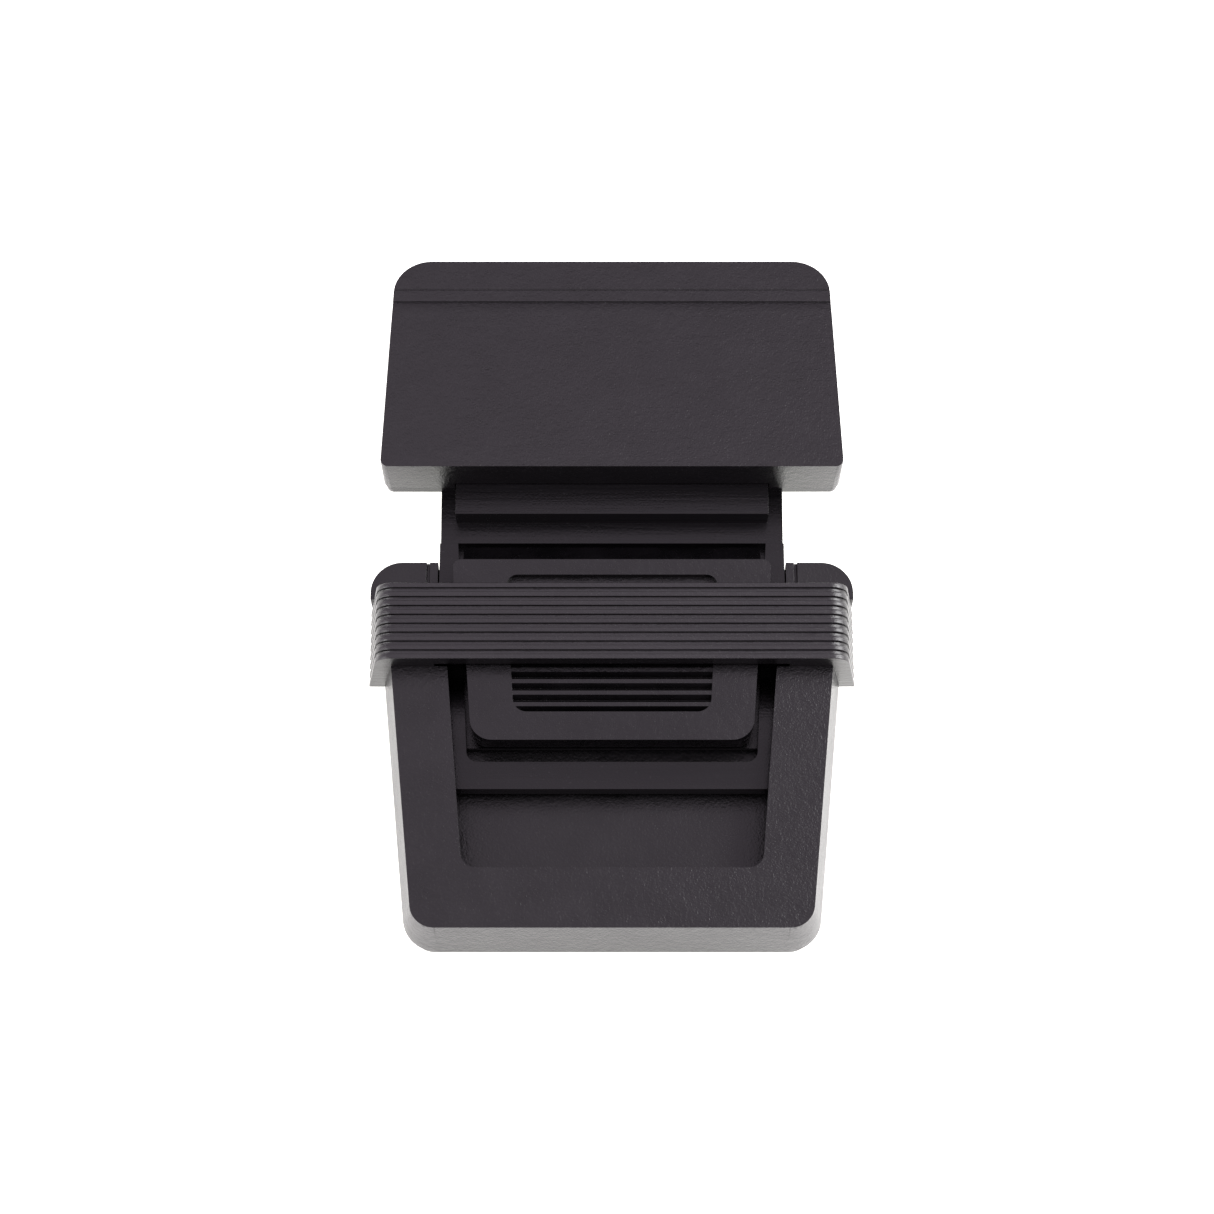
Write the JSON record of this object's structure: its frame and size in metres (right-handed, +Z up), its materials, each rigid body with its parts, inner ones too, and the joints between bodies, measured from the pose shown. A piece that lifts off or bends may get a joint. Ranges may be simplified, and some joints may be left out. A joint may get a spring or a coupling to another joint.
{
  "type": "belt buckle",
  "caption": "Front-release webbing belt buckle: insert with wedge head half pushed into a windowed socket with a ribbed band.",
  "frame": {"origin": "middle of the outline across and along the belt, on the plane the two webbing frames rest on", "axes": "+Y along the belt from the socket towards the head, +Z up out of the buckle's face, X across the belt"},
  "size_m": [0.0494, 0.0718, 0.0143],
  "materials": {
    "shell_plastic": "matte black moulded plastic with a fine spark texture",
    "inner_plastic": "matte black moulded plastic",
    "button_plastic": "matte black moulded plastic",
    "bar_steel": "brushed steel",
    "screw_steel": "plain steel",
    "spring_steel": "rolled spring steel",
    "rivet_brass": "plain brass"
  },
  "bodies": {
    "socket": {"socket_shell": "shell_plastic", "socket_floor": "inner_plastic", "grip_band": "shell_plastic", "socket_keeper": "inner_plastic", "socket_strap_bar": "bar_steel", "socket_screws": "screw_steel"},
    "insert": {"insert_frame": "inner_plastic", "neck_plate": "inner_plastic", "head_base": "inner_plastic", "head_cover": "shell_plastic", "head_keeper": "inner_plastic", "head_strap_bar": "bar_steel", "head_screws": "screw_steel", "hinge_pin": "screw_steel", "leaf_spring": "spring_steel", "spring_rivets": "rivet_brass"},
    "button": {"release_button": "button_plastic"}
  },
  "joints": [
    {"name": "insert_slide", "type": "slide", "parent": "socket", "child": "insert", "axis": [0, 1, 0], "range_m": [-0.0114, 0.026]},
    {"name": "button_press", "type": "hinge", "parent": "insert", "child": "button", "pos_m": [0, -0.01372, 0.0069], "axis": [-1, 0, 0], "range_deg": [0, 3.4], "stiffness_Nm_per_rad": 0.6, "springref_deg": -3.44, "deforming": ["leaf_spring"]}
  ]
}
